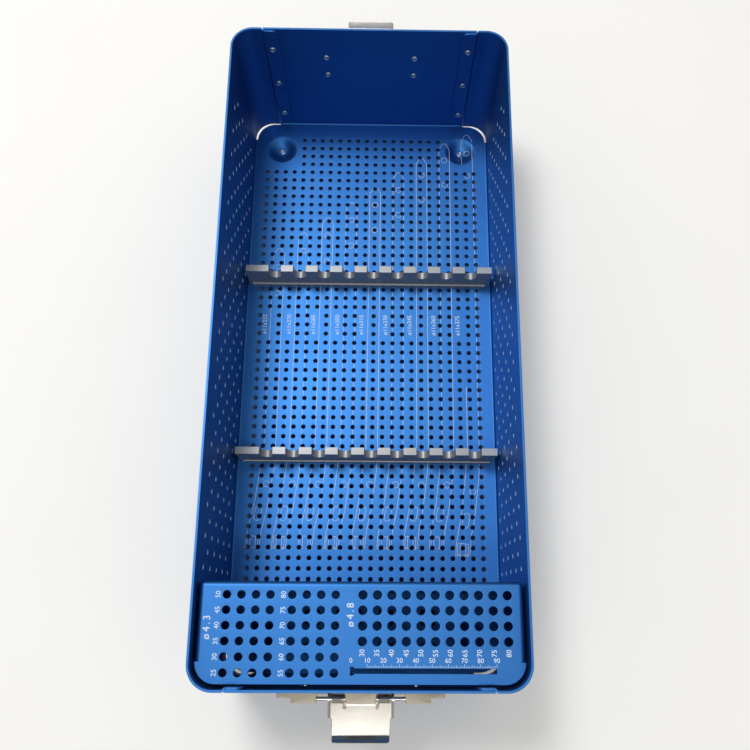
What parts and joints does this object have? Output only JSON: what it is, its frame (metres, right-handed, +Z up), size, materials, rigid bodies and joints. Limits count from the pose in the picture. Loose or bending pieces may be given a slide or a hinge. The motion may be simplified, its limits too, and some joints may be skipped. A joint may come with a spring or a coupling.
{
  "type": "sterilization container",
  "caption": "Deep rectangular perforated metal tub with slotted nail brackets, a lift-out screw rack, and a sprung latch and drop handle at each end.",
  "frame": {"origin": "on the ground under the middle of the tub, halfway between the two end panels", "axes": "+Z up, +Y along the tub towards the far end without the rack, +X across to the right as seen from the rack end"},
  "size_m": [0.2108, 0.5392, 0.1357],
  "materials": {
    "blue_anodised": "satin blue anodised sheet",
    "grey_aluminium": "clear anodised extrusion, satin",
    "stainless": "polished stainless steel",
    "rivet_aluminium": "bright rivet",
    "foot_rubber": "matt silicone rubber"
  },
  "bodies": {
    "tub": {"tub_body": "blue_anodised", "corner_rivets": "rivet_aluminium", "near_left_foot": "foot_rubber", "near_right_foot": "foot_rubber", "far_left_foot": "foot_rubber", "far_right_foot": "foot_rubber", "foot_rivets": "rivet_aluminium", "near_bracket": "grey_aluminium", "far_bracket": "grey_aluminium", "near_bracket_screws": "stainless", "far_bracket_screws": "stainless", "near_latch_mount": "stainless", "far_latch_mount": "stainless", "near_mount_rivets": "rivet_aluminium", "far_mount_rivets": "rivet_aluminium", "near_hinge_pin": "stainless", "far_hinge_pin": "stainless"},
    "rack": {"screw_rack": "blue_anodised"},
    "near_latch": {"near_latch_plate": "stainless", "near_latch_spring": "stainless"},
    "far_latch": {"far_latch_plate": "stainless", "far_latch_spring": "stainless"},
    "near_handle": {"near_handle": "stainless"},
    "far_handle": {"far_handle": "stainless"}
  },
  "joints": [
    {"name": "near_latch_hinge", "type": "hinge", "parent": "tub", "child": "near_latch", "pos_m": [0, -0.2429, 0.105], "axis": [-1, 0, 0], "range_deg": [0, 90], "stiffness_Nm_per_rad": 0.02, "springref_deg": -20.05},
    {"name": "near_handle_hinge", "type": "hinge", "parent": "tub", "child": "near_handle", "pos_m": [0, -0.2429, 0.105], "axis": [-1, 0, 0], "range_deg": [-4, 115]},
    {"name": "far_latch_hinge", "type": "hinge", "parent": "tub", "child": "far_latch", "pos_m": [0, 0.2429, 0.105], "axis": [1, 0, 0], "range_deg": [0, 90], "stiffness_Nm_per_rad": 0.02, "springref_deg": -20.05},
    {"name": "far_handle_hinge", "type": "hinge", "parent": "tub", "child": "far_handle", "pos_m": [0, 0.2429, 0.105], "axis": [1, 0, 0], "range_deg": [-4, 115]},
    {"name": "rack_lift", "type": "slide", "parent": "tub", "child": "rack", "axis": [0, 0, 1], "range_m": [0, 0.14]}
  ]
}
